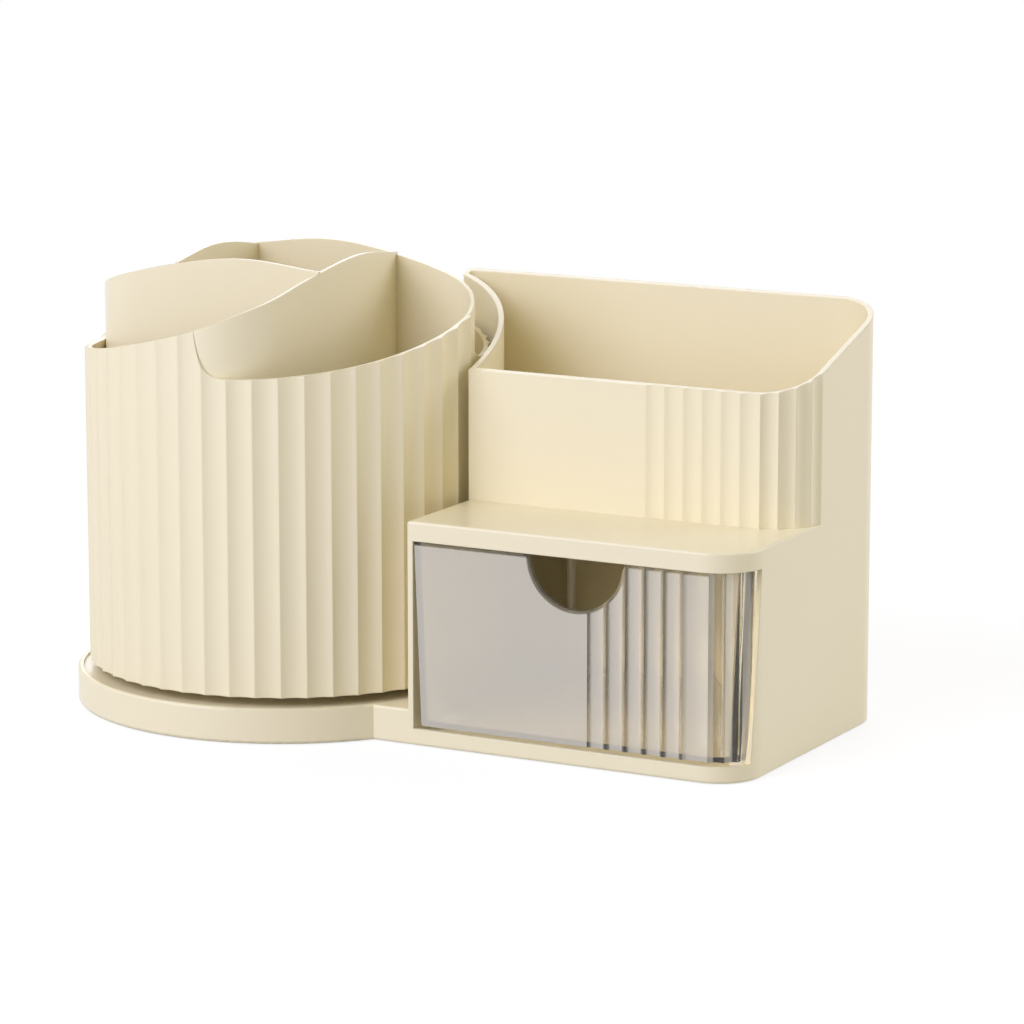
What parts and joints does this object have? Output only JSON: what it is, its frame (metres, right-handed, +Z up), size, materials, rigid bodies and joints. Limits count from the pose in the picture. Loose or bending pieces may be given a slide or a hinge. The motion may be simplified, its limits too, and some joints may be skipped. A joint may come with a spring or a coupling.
{
  "type": "rotating makeup organizer with drawer",
  "caption": "Dressing-table organizer: a fluted cup with pinwheel dividers turns on a round tray beside an open bin over a clear drawer.",
  "frame": {"origin": "middle of the whole part's box, on the table that its feet stand on", "axes": "+X from the cup towards the drawer block, +Y from the drawer's face to the back, +Z up"},
  "size_m": [0.2468, 0.136, 0.1439],
  "materials": {
    "cream_plastic": "satin moulded plastic",
    "smoke_clear": "clear polished plastic with a smoky tint",
    "bearing_plastic": "plain white acetal",
    "zinc_steel": "zinc plated",
    "turned_steel": "turned and polished",
    "foot_rubber": "matte",
    "soft_stop": "matte"
  },
  "bodies": {
    "housing": {"housing_shell": "cream_plastic", "bottom_cover": "cream_plastic", "cover_screws": "zinc_steel", "rubber_feet": "foot_rubber", "spindle": "turned_steel", "spindle_washer": "zinc_steel", "spindle_screw": "zinc_steel", "lower_race": "bearing_plastic", "left_runner": "bearing_plastic", "right_runner": "bearing_plastic", "drawer_stop": "soft_stop", "rear_bumpers": "soft_stop"},
    "cup": {"rotating_cup": "cream_plastic", "upper_race": "bearing_plastic", "race_screws": "zinc_steel", "hub_bush": "bearing_plastic", "hub_cap": "cream_plastic"},
    "cage": {"ball_cage": "bearing_plastic", "bearing_balls": "turned_steel"},
    "drawer": {"drawer_tray": "smoke_clear"}
  },
  "joints": [
    {"name": "cup_spin", "type": "hinge", "parent": "housing", "child": "cup", "pos_m": [-0.0554, 0, 0.0157], "axis": [0, 0, 1], "continuous": true},
    {"name": "cage_spin", "type": "hinge", "parent": "housing", "child": "cage", "pos_m": [-0.0554, 0, 0.01125], "axis": [0, 0, 1], "continuous": true},
    {"name": "drawer_slide", "type": "slide", "parent": "housing", "child": "drawer", "axis": [0, -1, 0], "range_m": [0, 0.07]}
  ],
  "couplings": [
    {"joint": "cage_spin", "follows": "cup_spin", "ratio": 0.5}
  ]
}
